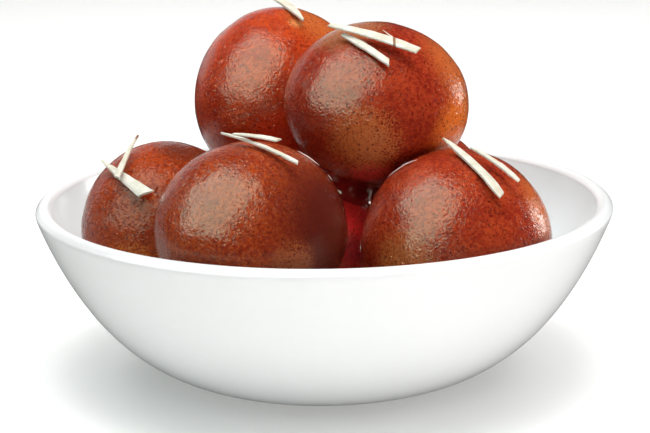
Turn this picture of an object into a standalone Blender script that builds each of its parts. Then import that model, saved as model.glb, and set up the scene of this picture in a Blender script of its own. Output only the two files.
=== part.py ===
"""Gulab jamun: eight syrup-soaked milk dumplings heaped in a white porcelain bowl,
with pale almond slivers laid over the upper ones.

Frame: origin on the table under the middle of the bowl, +Z up, the bowl's served side
towards -Y. Metres throughout.
"""

import bpy
import bmesh
import math
from mathutils import Euler, Matrix, Vector

MM = 0.001

# ---- Driving sizes --------------------------------------------------------------

GAP = 0.3 * MM                  # clearance kept between pieces that touch

# Bowl: a turned shape whose outer and inner walls are both rounded-square curves
BOWL_HEIGHT = 43.3 * MM
OUTER_RADIUS = 70.6 * MM        # radius that the outer curve would reach at the rim plane
OUTER_SQUARENESS = 3.7
OUTER_FULLNESS = 1.10
FOOT_RADIUS = 30.3 * MM
FOOT_WIDTH = 3.2 * MM           # flat ring that the bowl stands on
FOOT_RECESS = 1.0 * MM          # how far the underside is hollowed inside the ring
INNER_RADIUS = 66.4 * MM
INNER_DEPTH = 38.8 * MM
INNER_SQUARENESS = 3.7
INNER_FULLNESS = 1.30
LIP_HEIGHT = 2.0 * MM           # height of the rounded lip
BOWL_SIDES = 72

# Jamuns: middle, half sizes along X, Y and Z, and lean about Y, in mm and degrees
JAMUNS = {
    "jamun_top_back": ((-11.0, 26.3, 62.9), (21.8, 22.6, 23.3), 8),
    "jamun_top_front": ((12.7, -7.4, 67.3), (22.3, 21.4, 19.6), 6),
    "jamun_left": ((-38.2, -4.7, 36.9), (20.8, 21.0, 21.4), 0),
    "jamun_front_left": ((-16.6, -40.7, 44.9), (22.0, 21.4, 20.6), -4),
    "jamun_front_right": ((30.4, -30.4, 38.5), (22.3, 22.3, 22.5), 0),
    "jamun_middle": ((-0.8, -9.8, 26.4), (20.4, 20.2, 21.6), 0),
    "jamun_back_right": ((20.6, 20.2, 36.2), (21.8, 21.6, 21.2), -5),
    "jamun_back_left": ((-15.8, 25.8, 24.2), (19.6, 19.4, 19.2), 4),
}
JAMUN_SEGMENTS = 24
JAMUN_RINGS = 15
LUMP = 0.25 * MM                # how far a hand-rolled ball strays from a true one
SHOULDER = 1.2 * MM             # rounding where a ball is pressed flat

# Almond slivers: the jamun each lies on, the way that jamun's skin faces under it
# (azimuth, elevation) and its heading there in degrees, then its length, its width at
# the start, middle and end, its thickness and how far it is held off the skin in mm,
# and the slant of the cuts at its two ends, as the run of the cut over its width
SLIVERS = {
    "sliver_top_back": ("jamun_top_back", (-37, 81), -123,
                        21.0, (2.9, 3.0, 0.6), 0.9, 0.0, (0.5, -0.6)),
    "sliver_top_long": ("jamun_top_front", (-91.5, 61), -24.5,
                        22.9, (1.1, 1.9, 1.8), 0.8, 1.3, (0.6, 0.2)),
    "sliver_top_cut": ("jamun_top_front", (-101, 55.5), -37.5,
                       16.7, (1.2, 2.3, 1.6), 0.9, 0.0, (0.4, -1.1)),
    "sliver_left_broad": ("jamun_left", (-130, 45), -18,
                          20.6, (0.3, 2.0, 3.4), 0.8, 0.2, (0.0, 0.7)),
    "sliver_left_thin": ("jamun_left", (-137, 58.5), -65,
                         15.7, (0.7, 1.1, 1.5), 0.8, 1.4, (0.4, 0.5)),
    "sliver_front_long": ("jamun_front_left", (-66, 77), -61,
                          21.9, (0.4, 1.0, 0.9), 0.9, 0.4, (0.0, -0.8)),
    "sliver_front_short": ("jamun_front_left", (-68, 81), -34,
                           10.7, (0.8, 1.2, 1.1), 0.8, 1.8, (0.6, 0.8)),
    "sliver_right_broad": ("jamun_front_right", (-71, 65.5), -75,
                           23.5, (0.3, 2.6, 1.1), 0.9, 0.2, (0.0, -0.9)),
    "sliver_right_thin": ("jamun_front_right", (-49, 64), -76.5,
                          17.6, (0.8, 1.8, 0.6), 0.8, 1.4, (0.5, -0.4)),
}
SLIVER_BEND = 90 * MM           # radius that the slivers sag to over the round skin
SLIVER_STATIONS = 8


# ---- Helpers --------------------------------------------------------------------

def material(name, colour, roughness, metallic=0.0):
    """A plain Principled material in the part's own colour."""
    made = bpy.data.materials.new(name)
    made.use_nodes = True
    shader = made.node_tree.nodes["Principled BSDF"]
    shader.inputs["Base Color"].default_value = (*colour, 1.0)
    shader.inputs["Roughness"].default_value = roughness
    shader.inputs["Metallic"].default_value = metallic
    return made


def add_object(name, mesh_builder, surface, place):
    """Turn a finished bmesh into a smooth-shaded object standing at place."""
    mesh = bpy.data.meshes.new(name)
    bmesh.ops.recalc_face_normals(mesh_builder, faces=mesh_builder.faces)
    mesh_builder.to_mesh(mesh)
    mesh_builder.free()
    mesh.materials.append(surface)
    mesh.shade_smooth()
    mesh.set_sharp_from_angle(angle=math.radians(40))
    made = bpy.data.objects.new(name, mesh)
    made.matrix_world = place
    bpy.context.scene.collection.objects.link(made)
    return made


def wall_radius(depth, radius, full_depth, squareness, fullness):
    """Radius of a rounded-square wall at a depth below the rim plane."""
    share = min(max(depth / full_depth, 0.0), 1.0)
    return radius * (1.0 - share ** fullness) ** (1.0 / squareness)


def wall_turn(depth, full_depth, fullness):
    """Angle round the rounded-square curve, 0 at the rim plane, at which it is this deep."""
    return math.asin((depth / full_depth) ** (fullness / 2))


def wall_points(first_depth, last_depth, steps, radius, full_depth, squareness, fullness):
    """Points down a wall, evenly spaced in angle so that its tight bends get most."""
    first = wall_turn(first_depth, full_depth, fullness)
    last = wall_turn(last_depth, full_depth, fullness)
    points = []
    for i in range(steps + 1):
        depth = full_depth * math.sin(first + (last - first) * i / steps) ** (2 / fullness)
        points.append((wall_radius(depth, radius, full_depth, squareness, fullness), BOWL_HEIGHT - depth))
    return points


def inner_radius(depth, clearance=0.0):
    """Inner wall of the bowl, or the same wall brought in by a clearance."""
    return wall_radius(depth, INNER_RADIUS - clearance, INNER_DEPTH - clearance,
                       INNER_SQUARENESS, INNER_FULLNESS)


# ---- Bowl -----------------------------------------------------------------------

def bowl_profile():
    """Half section of the bowl, from the middle of its underside round to its floor."""
    foot_share = 1.0 - (FOOT_RADIUS / OUTER_RADIUS) ** OUTER_SQUARENESS
    outer_depth = BOWL_HEIGHT / foot_share ** (1.0 / OUTER_FULLNESS)
    outside = wall_points(LIP_HEIGHT, BOWL_HEIGHT, 10, OUTER_RADIUS, outer_depth,
                          OUTER_SQUARENESS, OUTER_FULLNESS)
    inside = wall_points(LIP_HEIGHT, INNER_DEPTH, 9, INNER_RADIUS, INNER_DEPTH,
                         INNER_SQUARENESS, INNER_FULLNESS)
    lip_middle = (outside[0][0] + inside[0][0]) / 2
    lip_half = (outside[0][0] - inside[0][0]) / 2
    lip = []
    for i in range(1, 6):
        angle = math.pi * i / 6
        height = BOWL_HEIGHT + LIP_HEIGHT * (math.sin(angle) - 1.0)
        lip.append((lip_middle + lip_half * math.cos(angle), height))
    foot_inside = FOOT_RADIUS - FOOT_WIDTH
    underside = [(0.0, FOOT_RECESS), (foot_inside - FOOT_RECESS, FOOT_RECESS), (foot_inside, 0.0)]
    return underside + outside[::-1] + lip + inside


def bowl(surface):
    """The bowl, spun from its half section about the Z axis."""
    shape = bmesh.new()
    ring = [shape.verts.new((radius, 0.0, height)) for radius, height in bowl_profile()]
    edges = [shape.edges.new(pair) for pair in zip(ring, ring[1:])]
    bmesh.ops.spin(shape, geom=ring + edges, cent=(0, 0, 0), axis=(0, 0, 1),
                   angle=2 * math.pi, steps=BOWL_SIDES, use_merge=True)
    bmesh.ops.remove_doubles(shape, verts=shape.verts, dist=0.01 * MM)
    return add_object("bowl", shape, surface, Matrix.Identity(4))


# ---- Jamuns ---------------------------------------------------------------------

def jamun_place(name):
    """Middle and turn of a jamun as one matrix."""
    middle, _, lean = JAMUNS[name]
    return Matrix.LocRotScale(Vector(middle) * MM, Euler((0, math.radians(lean), 0)), None)


def free_reach(name, direction):
    """How far the skin of a jamun lies from its middle along a world direction."""
    _, half_sizes, _ = JAMUNS[name]
    own = jamun_place(name).to_3x3().transposed() @ direction
    stretched = Vector(own[i] / half_sizes[i] for i in range(3))
    phase = 1.7 * list(JAMUNS).index(name)
    lumps = (math.sin(3.1 * own.x + 1.3 * own.y + phase)
             + math.sin(2.7 * own.y - 2.2 * own.z + 2.0 * phase)
             + math.sin(3.4 * own.z + 1.9 * own.x - phase)) / 3
    return MM / stretched.length + LUMP * lumps


def contact_planes(name):
    """Planes, as a direction and a distance from the middle, where neighbours press."""
    middle = jamun_place(name).translation
    planes = []
    for other in JAMUNS:
        if other == name:
            continue
        between = jamun_place(other).translation - middle
        direction = between.normalized()
        own_reach = free_reach(name, direction)
        overlap = own_reach + free_reach(other, -direction) + GAP - between.length
        if overlap > 0:
            planes.append((direction, own_reach - overlap / 2))
    return planes


def soft_least(first, second):
    """The smaller of two lengths, with the corner between them rounded off."""
    blend = max(SHOULDER - abs(first - second), 0.0) / SHOULDER
    return min(first, second) - blend * blend * SHOULDER / 4


def bowl_reach(middle, direction, most):
    """Distance from a point to the bowl's inner wall, less the clearance."""
    near, far = 0.0, most
    for _ in range(24):
        tried = (near + far) / 2
        point = middle + direction * tried
        depth = BOWL_HEIGHT - point.z
        inside = (depth < INNER_DEPTH - 2 * GAP
                  and math.hypot(point.x, point.y) < inner_radius(max(depth, LIP_HEIGHT), 2 * GAP))
        near, far = (tried, far) if inside or depth < 0 else (near, tried)
    return near


def jamun(name, surface):
    """A hand-rolled ball, swollen until it meets its neighbours and the bowl."""
    place = jamun_place(name)
    turn = place.to_3x3()
    planes = contact_planes(name)
    shape = bmesh.new()
    bmesh.ops.create_uvsphere(shape, u_segments=JAMUN_SEGMENTS, v_segments=JAMUN_RINGS, radius=1.0)
    for vertex in shape.verts:
        direction = (turn @ vertex.co).normalized()
        reach = free_reach(name, direction)
        for facing, distance in planes:
            towards = facing.dot(direction)
            if towards > 0.1:
                reach = soft_least(reach, distance / towards)
        wall = bowl_reach(place.translation, direction, 1.2 * reach)
        reach = soft_least(reach, wall)
        vertex.co = vertex.co.normalized() * reach
    return add_object(name, shape, surface, place)


# ---- Almond slivers -------------------------------------------------------------

def sliver_place(name):
    """Where a sliver touches its jamun's skin: X along the sliver, Z out of the skin."""
    host, facing, heading, _, _, _, lift, _ = SLIVERS[name]
    azimuth, elevation = (math.radians(angle) for angle in facing)
    out = Vector((math.cos(elevation) * math.cos(azimuth),
                  math.cos(elevation) * math.sin(azimuth), math.sin(elevation)))
    east = Vector((-math.sin(azimuth), math.cos(azimuth), 0))
    turned = Matrix.Rotation(math.radians(heading), 3, out)
    along = turned @ east
    middle, half_sizes, _ = JAMUNS[host]
    turn = jamun_place(host).to_3x3()
    own = turn.transposed() @ out
    pulled = Vector(own[i] * half_sizes[i] ** 2 for i in range(3))
    touch = (Vector(middle) + turn @ pulled / math.sqrt(own.dot(pulled))) * MM
    jamun_made = bpy.data.objects[host]
    highest = max(out.dot(jamun_made.matrix_world @ vertex.co) for vertex in jamun_made.data.vertices)
    touch += out * (highest - out.dot(touch) + GAP + lift * MM)
    place = Matrix((along, out.cross(along), out)).transposed().to_4x4()
    place.translation = touch
    return place


def sliver(name, surface):
    """A split almond: a flat stick, narrower at its ends, sagging a little over the skin."""
    _, _, _, length, (start, middle, end), thickness, _, slants = SLIVERS[name]
    shape = bmesh.new()
    rings = []
    for i in range(SLIVER_STATIONS):
        share = i / (SLIVER_STATIONS - 1)
        swell = 2 * share * (1 - share) * (2 * middle - start - end)
        width = start * (1 - share) + end * share + swell
        height = thickness * min(1.0, 0.5 + width / 3)
        slant = slants[0] * (1 - share) ** 2 + slants[1] * share ** 2
        ring = []
        for across, up in [(-0.5, 0.0), (0.5, 0.0), (0.5, 0.65), (0.3, 1.0), (-0.3, 1.0), (-0.5, 0.65)]:
            x = (length * (share - 0.5) + slant * across * width) * MM
            sag = x * x / (2 * SLIVER_BEND)
            ring.append(shape.verts.new((x, across * width * MM, up * height * MM - sag)))
        rings.append(ring)
    for ring, following in zip(rings, rings[1:]):
        for j in range(len(ring)):
            k = (j + 1) % len(ring)
            shape.faces.new((ring[j], ring[k], following[k], following[j]))
    shape.faces.new(rings[0])
    shape.faces.new(rings[-1])
    return add_object(name, shape, surface, sliver_place(name))


# ---- Build ----------------------------------------------------------------------

for leftover in list(bpy.data.objects):
    bpy.data.objects.remove(leftover)

porcelain = material("white porcelain", (0.86, 0.86, 0.85), 0.12)
skin_brown = material("fried jamun skin", (0.30, 0.055, 0.012), 0.25)
almond = material("blanched almond", (0.87, 0.82, 0.66), 0.55)

bowl(porcelain)
for jamun_name in JAMUNS:
    jamun(jamun_name, skin_brown)
for sliver_name in SLIVERS:
    sliver(sliver_name, almond)
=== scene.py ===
import math

import bpy
from mathutils import Matrix, Vector


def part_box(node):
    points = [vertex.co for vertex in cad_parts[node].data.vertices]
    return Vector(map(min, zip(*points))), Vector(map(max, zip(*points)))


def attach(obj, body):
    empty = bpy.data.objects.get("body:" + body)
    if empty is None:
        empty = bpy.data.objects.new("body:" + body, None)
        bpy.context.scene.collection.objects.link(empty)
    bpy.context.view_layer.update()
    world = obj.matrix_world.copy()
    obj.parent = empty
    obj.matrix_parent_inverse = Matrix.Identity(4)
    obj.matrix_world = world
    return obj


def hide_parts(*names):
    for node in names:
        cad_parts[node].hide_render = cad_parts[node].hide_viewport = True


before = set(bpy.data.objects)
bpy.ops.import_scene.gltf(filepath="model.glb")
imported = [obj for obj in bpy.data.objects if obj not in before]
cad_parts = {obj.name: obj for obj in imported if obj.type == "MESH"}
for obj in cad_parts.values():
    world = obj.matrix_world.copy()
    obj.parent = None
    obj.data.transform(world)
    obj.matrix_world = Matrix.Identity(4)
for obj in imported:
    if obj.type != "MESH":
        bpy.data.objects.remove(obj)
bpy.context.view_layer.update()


# ---------------------------------------------------------------- the bowl
# One porcelain bowl, jiggered thin with a softly rounded lip and a low foot ring,
# and dipped in a clear glaze over the white body. The sweets stand in it.

MM = 0.001


class Tint:
    """A socket in a finish: sums on it add Math nodes, and add() brings in any other node."""

    def __init__(self, finish, socket):
        self.finish, self.socket = finish, socket

    def add(self, kind, settings=None, sockets=None, out=0):
        """Any node: its type, its settings, which are made first, and its sockets' values or links."""
        node = self.finish.node_tree.nodes.new(kind)
        for key, value in (settings or {}).items():
            setattr(node, key, value)
        for key, value in (sockets or {}).items():
            if isinstance(value, Tint):
                self.finish.node_tree.links.new(value.socket, node.inputs[key])
            elif isinstance(value, tuple) and node.inputs[key].type == "RGBA":
                node.inputs[key].default_value = (*value, 1)
            else:
                node.inputs[key].default_value = value
        return Tint(self.finish, node.outputs[out])

    def sum(self, operation, first, second=0.0):
        """A Math node on two values; the operators below are written with it."""
        return self.add("ShaderNodeMath", {"operation": operation}, {0: first, 1: second})

    def __add__(self, other):
        return self.sum("ADD", self, other)

    def __sub__(self, other):
        return self.sum("SUBTRACT", self, other)

    def __rsub__(self, other):
        return self.sum("SUBTRACT", other, self)

    def __mul__(self, other):
        return self.sum("MULTIPLY", self, other)

    def __abs__(self):
        return self.sum("ABSOLUTE", self)

    __radd__, __rmul__ = __add__, __mul__

    def rise(self, start, end):
        """0 below start and 1 above end, with a soft step between; start may be the larger one."""
        return self.add("ShaderNodeMapRange", {"interpolation_type": "SMOOTHSTEP"},
                        {"Value": self, "From Min": start, "From Max": end})

    def between(self, low, high):
        """A colour that goes from low to high as this value goes from 0 to 1."""
        return self.add("ShaderNodeMix", {"data_type": "RGBA"}, {0: self, 6: low, 7: high}, out=2)

    def noise(self, size, detail=2.0, rough=0.5, twist=0.0):
        """Cloudy noise whose lumps are about that size across; this socket holds the place."""
        return self.add("ShaderNodeTexNoise", None, {"Vector": self, "Scale": 1 / size,
                        "Detail": detail, "Roughness": rough, "Distortion": twist})

    def cells(self, size):
        """The distance to the nearest of many strewn points, as a share of how far apart they lie."""
        return self.add("ShaderNodeTexVoronoi", None, {"Vector": self, "Scale": 1 / size})

    def moved(self, middle, scale):
        """This place as it reads from that middle, in units of that scale along each axis."""
        return self.add("ShaderNodeMapping", {"vector_type": "TEXTURE"},
                        {"Vector": self, "Location": middle, "Scale": scale})

    def part(self, axis):
        """This place or direction along X, Y or Z."""
        return self.add("ShaderNodeSeparateXYZ", None, {"Vector": self}, out="XYZ".index(axis))

    def far(self, point):
        """How far this place is from a point."""
        return self.add("ShaderNodeVectorMath", {"operation": "DISTANCE"},
                        {0: self, 1: point}, out=1)


def finish_named(name, settings, varied):
    """A material: settings go on the shader's own sockets, and varied(place) gives what is linked,
    where Normal is a height and how deep its relief is."""
    finish = bpy.data.materials.new(name)
    finish.use_nodes = True
    tree = finish.node_tree
    shader = tree.nodes["Principled BSDF"]
    for key, value in settings.items():
        shader.inputs[key].default_value = value
    place = Tint(finish, tree.nodes.new("ShaderNodeTexCoord").outputs["Object"])
    for key, tint in varied(place).items():
        if key == "Normal":
            height, depth = tint
            tint = place.add("ShaderNodeBump", None,
                             {"Height": height, "Distance": depth, "Strength": 1.0})
        tree.links.new(tint.socket, shader.inputs[key])
    return finish


def only(piece):
    """Leaves that piece alone selected and active."""
    bpy.ops.object.select_all(action="DESELECT")
    piece.select_set(True)
    bpy.context.view_layer.objects.active = piece


def merged_copy(node, name):
    """A copy of a CAD node as one joined mesh of four-sided faces."""
    piece = bpy.data.objects.new(name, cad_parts[node].data.copy())
    piece.data.materials.clear()
    bpy.context.scene.collection.objects.link(piece)
    only(piece)
    bpy.ops.object.mode_set(mode="EDIT")
    bpy.ops.mesh.select_all(action="SELECT")
    bpy.ops.mesh.remove_doubles(threshold=0.002 * MM)
    bpy.ops.mesh.tris_convert_to_quads(face_threshold=math.pi, shape_threshold=math.pi)
    bpy.ops.object.mode_set(mode="OBJECT")
    return piece


def modify(piece, kind, **settings):
    """Adds a modifier and applies it."""
    modifier = piece.modifiers.new(kind.title(), kind)
    for key, value in settings.items():
        setattr(modifier, key, value)
    only(piece)
    bpy.ops.object.modifier_apply(modifier=modifier.name)


def rounded(piece, levels):
    """Subdivides the copy so that the smooth skin still runs through the CAD node's own points."""
    aim = [v.co.copy() for v in piece.data.vertices]
    for _ in range(3):
        skin = piece.modifiers.new("Skin", "SUBSURF")
        skin.levels = skin.render_levels = 1
        soft = piece.evaluated_get(bpy.context.evaluated_depsgraph_get()).to_mesh()
        there = [soft.vertices[i].co.copy() for i in range(len(aim))]
        piece.evaluated_get(bpy.context.evaluated_depsgraph_get()).to_mesh_clear()
        piece.modifiers.remove(skin)
        for v, a, t in zip(piece.data.vertices, aim, there):
            v.co += a - t
        piece.data.update()
    modify(piece, "SUBSURF", levels=levels, render_levels=levels)


bowl = merged_copy("bowl", "porcelain_bowl")
rounded(bowl, 2)
for v in bowl.data.vertices:
    v.co.z = max(v.co.z, 0.0)  # the foot stands flat on the table
bpy.ops.object.shade_smooth()

# The inside is painted brighter and a little blue-green, as painted light that also cancels the red
# the jamuns bounce onto it.
PORCELAIN, INSIDE_PAINTED_LIGHT, LIP_PAINTED_SHADE = (0.87, 0.868, 0.862), (0.87, 0.965, 0.972), (0.748, 0.76, 0.757)
LIP_FROM, LIP_UP_TO = 41.5 * MM, 42.6 * MM  # heights between which the colour turns to the lip's painted shade, a darker band on its top
FACING_IN = -20 * MM  # a wall 20 mm or more from the axis that faces it squarely is all the inside's painted light


def porcelain(place):
    body = place.noise(18 * MM, 3)
    haze = place.noise(2.2 * MM, 2)
    facing = place.add("ShaderNodeTexCoord", out="Normal")
    inward = facing.part("X") * place.part("X") + facing.part("Y") * place.part("Y")
    # The porcelain's own white, with the inside's painted light and the lip's painted shade laid over
    # it.
    glaze = inward.rise(0.0, FACING_IN).between(PORCELAIN, INSIDE_PAINTED_LIGHT)
    glaze = place.part("Z").rise(LIP_FROM, LIP_UP_TO).between(glaze, LIP_PAINTED_SHADE)
    shade = (body * 0.7 + haze * 0.3).rise(0.3, 0.7) * 0.015
    return {"Base Color": shade.between(glaze, (0, 0, 0)),
            "Roughness": 0.13 + haze * 0.06,
            "Normal": (place.noise(9 * MM, 2) * 0.8 + haze * 0.2, 0.02 * MM)}


bowl.data.materials.append(finish_named("glazed_porcelain", {"IOR": 1.5}, porcelain))
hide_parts("bowl")
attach(bowl, "root")


# ---------------------------------------------------------------- the jamuns
# Balls of milk-solid dough, fried brown and soaked in syrup until the skin is soft, finely
# wrinkled and wet. They settle against each other and the bowl, and flatten where they press.

def dents(size, basis):
    """A cloudy texture that a Displace modifier presses into a skin."""
    texture = bpy.data.textures.new("dents", "CLOUDS")
    texture.noise_scale, texture.noise_depth = size, 2
    texture.noise_basis = basis
    return texture


BROAD_DENTS = dents(9 * MM, "ORIGINAL_PERLIN")
SMALL_DENTS = dents(2.4 * MM, "IMPROVED_PERLIN")
BROAD_DEPTH, SMALL_DEPTH = 0.5 * MM, 0.12 * MM
WRINKLE, WRINKLE_DEPTH = 0.65 * MM, 0.12 * MM  # how wide and how deep on a skin wrinkled by 1


def jamun(node):
    """A fine, evenly divided ball, shrunk onto the CAD node's rounded form and then dented."""
    form = merged_copy(node, node + "_form")
    rounded(form, 3)
    low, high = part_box(node)
    bpy.ops.object.select_all(action="DESELECT")
    bpy.ops.mesh.primitive_ico_sphere_add(subdivisions=7, radius=max(high - low) * 0.62,
                                          location=(low + high) / 2)
    ball = bpy.context.active_object
    ball.name = ball.data.name = node + "_ball"
    bpy.ops.object.transform_apply(location=True, rotation=True, scale=True)
    modify(ball, "SHRINKWRAP", target=form, wrap_method="PROJECT",
           use_negative_direction=True, use_positive_direction=False)
    bpy.data.objects.remove(form)
    modify(ball, "DISPLACE", texture=BROAD_DENTS, texture_coords="LOCAL",
           strength=BROAD_DEPTH, mid_level=0.8)
    modify(ball, "DISPLACE", texture=SMALL_DENTS, texture_coords="LOCAL",
           strength=SMALL_DEPTH, mid_level=1.0)
    bpy.ops.object.shade_smooth()
    return ball


def jamun_skin(name, brown, patches, wrinkled, wet):
    """The fried skin round its own brown, with its patches of tone, painted light and painted shade,
    as the table below gives them.
    """
    red, green, blue = brown
    deep, warm = (red * 0.74, green * 0.56, blue * 0.7), (red * 1.22, green * 1.5, blue * 1.2)
    pit = (red * 0.25, green * 0.25, blue * 0.4)

    def varied(place):
        blotch = place.noise(8 * MM, 3, 0.5)
        grain = place.noise(0.9 * MM, 3, 0.65)
        fleck = place.noise(0.5 * MM, 2, 0.6)
        skin = (blotch * 0.35 + grain * 0.65).rise(0.39, 0.61).between(deep, warm)
        for middle, reach, colour, speckled in patches:
            shade = place.far(tuple(c * MM for c in middle)).rise(reach * MM, reach * MM * 0.2)
            cover = (shade + (fleck - 0.5) * (3 * speckled)).rise(0, 1.1) * shade.rise(0, 0.4)
            skin = cover.between(skin, colour)
        # Pores, specks and creases, which the relief below sinks, are darkened towards the pit tone:
        # partly the skin's own darker pits, partly painted shade in these hollows.
        pores = place.cells(0.9 * MM).rise(0.30, 0.14) * place.noise(2.2 * MM).rise(0.4, 0.58)
        specks = place.noise(0.6 * MM, 2, 0.5).rise(0.58, 0.68)
        creases = abs(place.noise(1.3 * MM, 2, 0.5, 0.8) - 0.5).rise(0.05, 0.0)
        skin = (pores * 0.7 + specks * 0.6 + creases * 0.35).rise(0, 1).between(skin, pit)
        ripple = place.noise(WRINKLE * wrinkled ** 0.5, 1, 0.4, 0.5)
        drops = place.cells(1.8 * MM).rise(0.24, 0.06)
        relief = ripple * (place.noise(6 * MM, 1).rise(0.3, 0.7) + 0.45) + drops * 0.6 \
            - creases * 0.16 - pores * 0.16 - specks * 0.08
        return {"Base Color": skin, "Roughness": 0.03 + grain * 0.04,
                "Normal": (relief, WRINKLE_DEPTH * wrinkled)}
    return finish_named(name, {"IOR": 1.38, "Specular IOR Level": wet,
                        "Specular Tint": (1.0, 0.88, 0.6, 1), "Subsurface Weight": 0.35,
                        "Subsurface Radius": (1.0, 0.28, 0.10), "Subsurface Scale": 2.5 * MM},
                        varied)


# The paler tone that frying leaves in patches, an orange that is painted light on sides turned to the
# light, and a near-black that is painted shade.
GOLD, AMBER_PAINTED_LIGHT, PAINTED_SHADE = (0.52, 0.15, 0.026), (0.48, 0.11, 0.023), (0.08, 0.009, 0.006)

# For each ball: its brown, its patches of tone, painted light and painted shade (middle and reach in
# mm, colour, how speckled the edge is), how coarsely wrinkled it is, and how strongly its wet skin
# shines.
JAMUNS = {
    # Top back: the orange patch high on its right and the brighter red one low on its front, towards
    # the top front jamun, are painted light.
    "jamun_top_back": ((0.43, 0.040, 0.009),
                       [((0.0, 22.0, 83.0), 15, AMBER_PAINTED_LIGHT, 0.35),
                        ((-6.4, 16.9, 83.6), 3, (0.6, 0.22, 0.07), 0.7),
                        ((-11.0, 5.0, 57.0), 11, (0.62, 0.05, 0.014), 0.2)], 1.0, 0.5),
    # Top front: the orange patches on its right side and the bright red one underneath are painted
    # light.
    "jamun_top_front": ((0.30, 0.027, 0.010),
                        [((6.0, -10.0, 87.0), 14, (0.33, 0.115, 0.042), 0.7),
                         ((32.0, -10.0, 76.0), 18, AMBER_PAINTED_LIGHT, 0.3),
                         ((32.0, -18.0, 62.0), 14, (0.75, 0.17, 0.02), 0.3),
                         ((11.0, -23.0, 53.0), 8, (0.76, 0.07, 0.055), 0),
                         ((9.0, -28.0, 62.0), 13, (0.47, 0.125, 0.033), 1)], 1.0, 0.5),
    # Left: the dark patch on its top, towards the right, is painted shade.
    "jamun_left": ((0.30, 0.034, 0.007),
                   [((-45.0, -22.0, 30.0), 12, GOLD, 1),
                    ((-32.0, -7.0, 58.0), 13, (0.125, 0.018, 0.006), 0.4)], 1.9, 0.24),
    # Front left: the large near-black patch over its right side, towards the front right jamun, is
    # painted shade.
    "jamun_front_left": ((0.28, 0.036, 0.009),
                         [((3.0, -50.0, 49.0), 27, PAINTED_SHADE, 0.1),
                          ((-7.0, -60.0, 42.0), 8, (0.27, 0.062, 0.02), 1)], 1.0, 0.5),
    # Front right: the orange patch on its right side is painted light.
    "jamun_front_right": ((0.32, 0.033, 0.011),
                          [((16.5, -49.0, 38.5), 12, (0.42, 0.115, 0.03), 1),
                           ((50.0, -34.0, 48.0), 14, AMBER_PAINTED_LIGHT, 0.3)], 1.0, 0.5),
    # Middle: the bright red patch where it shows under the top jamuns is painted light, and the dark
    # one below it is painted shade.
    "jamun_middle": ((0.32, 0.028, 0.011),
                     [((7.0, -19.0, 44.0), 16, (0.60, 0.023, 0.021), 0),
                      ((6.4, -27.0, 37.0), 7, (0.24, 0.012, 0.014), 0)], 1.0, 0.5),
    "jamun_back_right": ((0.30, 0.028, 0.010), [], 1.0, 0.5),
    "jamun_back_left": ((0.30, 0.030, 0.011), [], 1.3, 0.5),
}
balls = {}
for node, (brown, patches, wrinkled, wet) in JAMUNS.items():
    ball = balls[node] = jamun(node)
    ball.data.materials.append(jamun_skin(node + "_skin", brown, patches, wrinkled, wet))
    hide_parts(node)
    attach(ball, "root")


# ---------------------------------------------------------------- the syrup
# Thick sugar syrup, dark where it stands deep. It creeps into the narrow seams where two
# jamuns meet, and draws up between them in a hollow, shining edge.

DEEP_SYRUP, THIN_SYRUP = (0.18, 0.009, 0.009), (0.27, 0.014, 0.011)
SYRUP_IOR = 1.47


def syrup(place):
    swirl = place.noise(4 * MM, 2)
    return {"Base Color": swirl.rise(0.3, 0.7).between(DEEP_SYRUP, THIN_SYRUP),
            "Roughness": 0.03 + swirl * 0.03,
            "Normal": (swirl, 0.08 * MM)}


syrup_finish = finish_named("dark_syrup", {"IOR": SYRUP_IOR, "Specular Tint": (1.0, 0.8, 0.6, 1)},
                            syrup)


def heart(ball):
    """The middle of a ball."""
    return sum((v.co for v in ball.data.vertices), Vector()) / len(ball.data.vertices)


HALF_DEPTH = 0.5 * MM  # of the flat plug that each seam starts from
CUTS = (-0.3, 0.0, 0.3)  # heights in mm where its side is cut, so that it can be drawn in there
HOLLOW = {1: 0.0, 0.6: 0.62, 0: 0.8}  # level from the middle: how far in, in shares of half the gap


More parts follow.
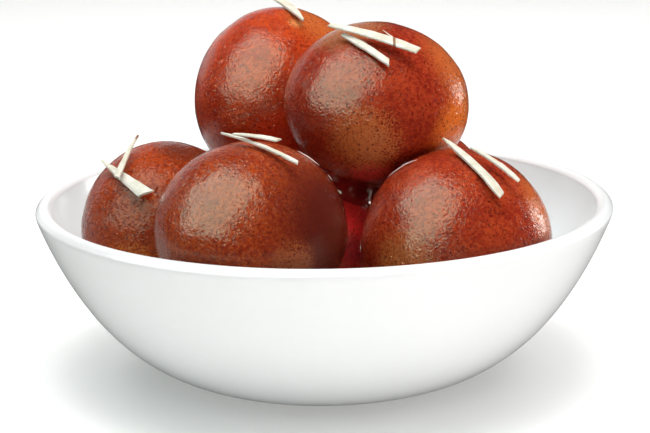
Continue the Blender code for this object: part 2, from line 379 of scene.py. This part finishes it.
def seam_of_syrup(first, second, reach):
    """A plug of syrup between two jamuns; reach is how far its edge is from the line through them."""
    above, below = balls[first], balls[second]
    top, foot = heart(above), heart(below)
    axis = (top - foot).normalized()
    turn = axis.to_track_quat("Z", "Y").to_matrix()
    bpy.ops.object.select_all(action="DESELECT")
    bpy.ops.mesh.primitive_cylinder_add(vertices=40, radius=reach * MM, depth=2 * HALF_DEPTH,
                                        end_fill_type="NGON")
    plug = bpy.context.active_object
    plug.name = "syrup_" + first.removeprefix("jamun_") + "_to_" + second.removeprefix("jamun_")
    plug.data.name = plug.name
    bpy.ops.object.mode_set(mode="EDIT")
    bpy.ops.mesh.select_mode(type="FACE")
    for height in CUTS:
        bpy.ops.mesh.select_all(action="SELECT")
        bpy.ops.mesh.bisect(plane_co=(0, 0, height * MM), plane_no=(0, 0, 1))
    for side in (1, -1):
        bpy.ops.mesh.select_all(action="DESELECT")
        bpy.ops.object.mode_set(mode="OBJECT")
        for face in plug.data.polygons:
            face.select = face.normal.z * side > 0.9
        bpy.ops.object.mode_set(mode="EDIT")
        for _ in range(3):
            bpy.ops.mesh.inset(thickness=reach * 0.24 * MM)
        bpy.ops.mesh.poke()
    bpy.ops.object.mode_set(mode="OBJECT")
    for v in plug.data.vertices:
        level = round(v.co.z / HALF_DEPTH, 1)
        out = Vector((v.co.x, v.co.y, 0))
        _, upper, _, _ = above.ray_cast(top + turn @ out, -axis)
        _, lower, _, _ = below.ray_cast(foot + turn @ out, axis)
        hollow = HOLLOW[abs(level)] * (upper - lower).length * 0.5
        edge = out.length > reach * 0.95 * MM
        bite = axis * 0.1 * MM * level  # so that it wets both skins without a gap
        v.co = lower.lerp(upper, (level + 1) / 2) + bite \
            - (turn @ out.normalized() * hollow if edge else Vector())
    modify(plug, "SUBSURF", levels=2, render_levels=2)
    only(plug)
    bpy.ops.object.shade_smooth()
    plug.data.materials.append(syrup_finish)
    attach(plug, "root")


SEAMS = (  # two jamuns, and the reach of the syrup between them in mm
    ("jamun_top_front", "jamun_front_right", 5.5), ("jamun_top_front", "jamun_middle", 8.5),
    ("jamun_top_front", "jamun_back_right", 6.0), ("jamun_back_right", "jamun_middle", 10.0),
    ("jamun_front_right", "jamun_middle", 9.2), ("jamun_front_left", "jamun_middle", 8.4),
    ("jamun_left", "jamun_middle", 8.0), ("jamun_top_back", "jamun_top_front", 8.2),
    ("jamun_top_back", "jamun_back_right", 7.8), ("jamun_top_back", "jamun_back_left", 9.6),
    ("jamun_left", "jamun_front_left", 4.0), ("jamun_left", "jamun_back_left", 5.0),
    ("jamun_middle", "jamun_back_left", 6.0), ("jamun_back_right", "jamun_back_left", 8.5),
)
for first, second, reach in SEAMS:
    seam_of_syrup(first, second, reach)


def strand(name, thick, path, finish):
    """A thin round strand along points given in mm, drawn to a point at both ends."""
    curve = bpy.data.curves.new(name, "CURVE")
    curve.dimensions, curve.bevel_depth, curve.use_fill_caps = "3D", thick / 2 * MM, True
    spline = curve.splines.new("NURBS")
    spline.points.add(len(path) - 1)
    for point, place in zip(spline.points, path):
        point.co = (*(c * MM for c in place), 1)
        point.radius = 0.15 if place in (path[0], path[-1]) else 1.0
    spline.use_endpoint_u, spline.order_u = True, 3
    piece = bpy.data.objects.new(name, curve)
    bpy.context.scene.collection.objects.link(piece)
    only(piece)
    bpy.ops.object.convert(target="MESH")
    bpy.ops.object.shade_smooth()
    piece.data.materials.append(finish)
    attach(piece, "root")


# Pale colour for thin strands of the dark syrup: a painted highlight along them.
def shining(place):
    cloud = place.noise(2 * MM, 2)
    return {"Base Color": cloud.between((0.62, 0.46, 0.42), (0.85, 0.72, 0.66)),
            "Roughness": 0.04 + cloud * 0.04,
            "Normal": (cloud, 0.05 * MM)}


syrup_painted_highlight = finish_named("syrup_painted_highlight", {"IOR": SYRUP_IOR}, shining)
THREADS = (  # strands of syrup, pale in colour as a painted highlight: name, thickness and path in mm
    ("syrup_thread", 0.36, [(-5.9, -38.8, 63.0), (-4.2, -39.0, 62.0), (-2.7, -39.1, 61.0),
                            (-1.0, -39.5, 59.7)]),
    ("syrup_thread_right", 0.3, [(14.6, -29.2, 54.4), (15.6, -29.5, 55.4), (17.0, -30.4, 56.6),
                                 (18.6, -30.7, 57.8), (19.9, -31.4, 58.5), (21.4, -32.0, 59.1)]),
    ("syrup_thread_low", 0.3, [(0.9, -40.0, 57.7), (1.4, -40.2, 57.0), (1.9, -40.3, 56.4)]),
)
for name, thick, path in THREADS:
    strand(name, thick, path, syrup_painted_highlight)


# ---------------------------------------------------------------- the almond slivers
# Blanched almond, cut lengthwise into thin slivers and scattered over the sweets, where
# the syrup holds them. The cut faces are matt cream, and three of them are flawed with brown.

ALMOND, HUSK = (0.66, 0.61, 0.53), (0.20, 0.08, 0.03)
ALMOND_DIM = (ALMOND[0] * 0.78, ALMOND[1] * 0.76, ALMOND[2] * 0.66)
THROUGH = 9  # mm, a flaw this long runs right through a sliver

# The brown flaw, if any: how far along X and up Z in shares of the sliver (None is halfway),
# and about how far the flaw reaches each way in mm.
SLIVERS = {
    "sliver_top_back": None,
    "sliver_top_long": (0.715, None, (0.32, THROUGH, THROUGH)),
    "sliver_top_cut": None,
    "sliver_left_broad": None,
    "sliver_left_thin": (None, 1.0, (THROUGH, THROUGH, 1.0)),
    "sliver_front_long": (0.76, 0.30, (0.4, THROUGH, 0.3)),
    "sliver_front_short": None,
    "sliver_right_broad": None,
    "sliver_right_thin": None,
}

# How much of its length a sliver's left end loses, and then its width at five stations
# from left to right, in shares of the CAD node's.
RESHAPED = {
    "sliver_top_long": (0.0, (1.1, 1.3, 1.35, 1.35, 1.35)),
    "sliver_top_cut": (0.08, (1.2, 1.0, 0.85, 0.9, 1.2)),
    "sliver_left_broad": (0.0, (1.5, 1.2, 1.1, 1.0, 1.0)),
    "sliver_left_thin": (0.0, (1.3, 1.5, 1.4, 1.3, 1.0)),
    "sliver_front_long": (0.0, (1.2, 1.2, 1.2, 1.2, 1.4)),
    "sliver_front_short": (0.0, (1.0, 1.2, 1.4, 1.6, 1.8)),
    "sliver_right_broad": (0.0, (1.3, 0.96, 0.79, 0.88, 1.8)),
    "sliver_right_thin": (0.2, (0.6, 0.7, 0.9, 1.2, 2.0)),
}


def reshaped(sliver, shorter, widths):
    """Trims a sliver's left end and sets its width along its length, level with the skin below."""
    places = [v.co.copy() for v in sliver.data.vertices]
    left, right = min(places, key=lambda c: c.x), max(places, key=lambda c: c.x)
    middle = sum(places, Vector()) / len(places)
    under = min((heart(ball) for ball in balls.values()), key=lambda c: (c - middle).length)
    along = (right - left).normalized()
    across = along.cross(middle - under).normalized()
    for v in sliver.data.vertices:
        share = min(max((v.co - left).dot(along) / (right - left).length, 0), 0.999)
        station = int(share * 4)
        width = widths[station] + (widths[station + 1] - widths[station]) * (share * 4 - station)
        v.co += across * (v.co - middle).dot(across) * (width - 1) \
            + (right - left) * shorter * (1 - share)


CUT_EDGE, UNEVEN = 0.2 * MM, 0.3 * MM  # how round the edges are, and how far the faces wander


def almond(name, flaw=None, size=None):
    """Cut almond; a flaw is a brown ellipsoid of that size round a place in it."""
    def varied(place):
        cloud = place.noise(3 * MM, 3)
        fibre = place.noise(0.4 * MM, 3, 0.6)
        cut = (cloud * 0.6 + fibre * 0.4).rise(0.36, 0.64).between(ALMOND_DIM, ALMOND)
        if flaw is not None:
            inside = place.moved(flaw, size).far((0, 0, 0)) + fibre * 0.5
            cut = inside.rise(1.4, 1.1).between(cut, HUSK)
        return {"Base Color": cut, "Roughness": 0.42 + fibre * 0.2,
                "Normal": (fibre * 0.6 + cloud * 0.4, 0.12 * MM)}
    return finish_named(name, {"IOR": 1.45, "Subsurface Weight": 0.2,
                        "Subsurface Radius": (1.0, 0.8, 0.5), "Subsurface Scale": 0.6 * MM}, varied)


def flaw_in(node, along, up):
    """The middle of a flaw in a sliver, from its shares of the way along X and up Z."""
    low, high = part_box(node)
    middle = (low + high) / 2
    if along is not None:
        middle.x = low.x + (high.x - low.x) * along
    if up is not None:
        middle.z = low.z + (high.z - low.z) * up
    return tuple(middle)


almond_cut = almond("blanched_almond")
for node, flaw in SLIVERS.items():
    sliver = merged_copy(node, node + "_cut")
    if node in RESHAPED:
        reshaped(sliver, *RESHAPED[node])
    modify(sliver, "BEVEL", width=CUT_EDGE, segments=2, limit_method="ANGLE",
           angle_limit=math.radians(35))
    modify(sliver, "SUBSURF", levels=2, render_levels=2)
    modify(sliver, "DISPLACE", texture=SMALL_DENTS, texture_coords="LOCAL",
           strength=UNEVEN, mid_level=0.75)
    bpy.ops.object.shade_smooth_by_angle(angle=math.radians(50))
    finish = almond_cut
    if flaw is not None:
        along, up, size = flaw
        finish = almond(node + "_flawed", flaw_in(node, along, up), tuple(c * MM for c in size))
    sliver.data.materials.append(finish)
    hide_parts(node)
    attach(sliver, "root")

# A hair-thin splinter lies beside the slivers on top.
strand("almond_hair", 0.36, [(14.1, -13.7, 86.2), (15.3, -17.6, 85.7), (16.6, -20.9, 85.2),
                             (18.8, -22.4, 83.8)], almond_cut)


# ---------------------------------------------------------------- the table, the light and the camera
# A plain white table. A large softbox over the left shoulder, a small one low behind on the right
# and a pale panel behind make the glints. The others don't show in the gloss: they light the
# colours from all round. The camera looks down a little on the heap.

def table_top(place):
    return {"Base Color": place.noise(0.4).between((0.72, 0.72, 0.71), (0.75, 0.75, 0.74)),
            "Roughness": 0.6 + place.noise(0.1) * 0.1}


bpy.ops.object.select_all(action="DESELECT")
bpy.ops.mesh.primitive_grid_add(x_subdivisions=8, y_subdivisions=8, size=12,
                                location=(0, 0, -0.05 * MM))
table = bpy.context.active_object
table.name = "table"
bpy.ops.object.transform_apply(location=True, rotation=True, scale=True)
table.data.materials.append(finish_named(
    "white_table", {"Specular IOR Level": 0.1, "Emission Color": (1, 1, 0.98, 1),
                    "Emission Strength": 0.178}, table_top))
table.visible_glossy = False

SWEETS = Vector((0, 0, 0.045))  # what every softbox faces


def softbox(name, direction, away, size, glow, gloss=True, body=True, colour=(1, 1, 1)):
    """A flat light that many metres away from the sweets, its face's size and how brightly it glows.
    Without gloss it makes no glints, and without body it lights no colours."""
    way = Vector(direction).normalized()
    light = bpy.data.lights.new(name, "AREA")
    light.shape = "RECTANGLE"
    light.size, light.size_y = size
    light.energy = glow * math.pi * size[0] * size[1]
    light.color = colour
    lamp = bpy.data.objects.new(name, light)
    lamp.location = SWEETS + way * away
    lamp.rotation_euler = way.to_track_quat("Z", "Y").to_euler()
    lamp.visible_camera = False
    lamp.visible_glossy, lamp.visible_diffuse = gloss, body
    bpy.context.scene.collection.objects.link(lamp)


softbox("key_gloss", (-0.594, -0.40, 0.70), 0.6, (0.76, 0.96), 7.9, body=False,
        colour=(0.80, 1.11, 1.15))
softbox("rim_right", (0.84, 0.53, 0.07), 0.7, (0.20, 0.16), 8.4)
softbox("backdrop", (-0.40, 0.90, 0.17), 1.0, (0.9, 0.40), 0.7, body=False)
softbox("front_high", (0.20, -0.58, 0.80), 0.9, (0.9, 0.7), 1.25, gloss=False)
softbox("front_right", (0.80, -0.60, 0.04), 1.0, (0.8, 0.14), 5.0, gloss=False)
softbox("front_low", (0.50, -0.85, 0.10), 1.0, (0.8, 0.2), 2.6, gloss=False)
softbox("top_right", (0.45, 0.25, 0.85), 0.9, (0.6, 0.6), 2.3, gloss=False)
softbox("top_left", (-0.40, 0.25, 0.90), 0.9, (0.5, 0.5), 4.0, gloss=False)
softbox("top", (0.0, -0.10, 1.0), 0.9, (0.5, 0.5), 7.8, gloss=False)
softbox("back_body", (0.10, 0.70, 0.70), 1.4, (1.4, 1.0), 0.8, gloss=False)

sun = bpy.data.lights.new("overhead", "SUN")
sun.energy, sun.angle = 0.35, math.radians(80)
overhead = bpy.data.objects.new("overhead", sun)
overhead.visible_glossy = False
bpy.context.scene.collection.objects.link(overhead)

world = bpy.data.worlds.new("studio")
world.use_nodes = True
sky = world.node_tree.nodes["Background"]
sky.inputs["Color"].default_value = (0.97, 0.98, 1.0, 1)
sky.inputs["Strength"].default_value = 0.05
bpy.context.scene.world = world

# Millimetres for the lens, metres for the place, and how far the view is turned aside and rolled.
LENS, SENSOR = 119.08, 36
CAMERA_AT = (0, -0.5109, 0.1640)
TILT = math.radians(13.84)
ASIDE, ROLL = 0.0003, -0.0117

camera_data = bpy.data.cameras.new("camera")
camera_data.sensor_width = SENSOR
camera_data.lens = LENS
camera = bpy.data.objects.new("camera", camera_data)
bpy.context.scene.collection.objects.link(camera)
camera.location = CAMERA_AT
look = Vector((ASIDE, math.cos(TILT), -math.sin(TILT)))
camera.rotation_euler = (look.to_track_quat("-Z", "Y").to_matrix()
                         @ Matrix.Rotation(ROLL, 3, "Z")).to_euler()
bpy.context.scene.camera = camera
bpy.context.scene.view_settings.view_transform = "Standard"

bpy.context.view_layer.update()
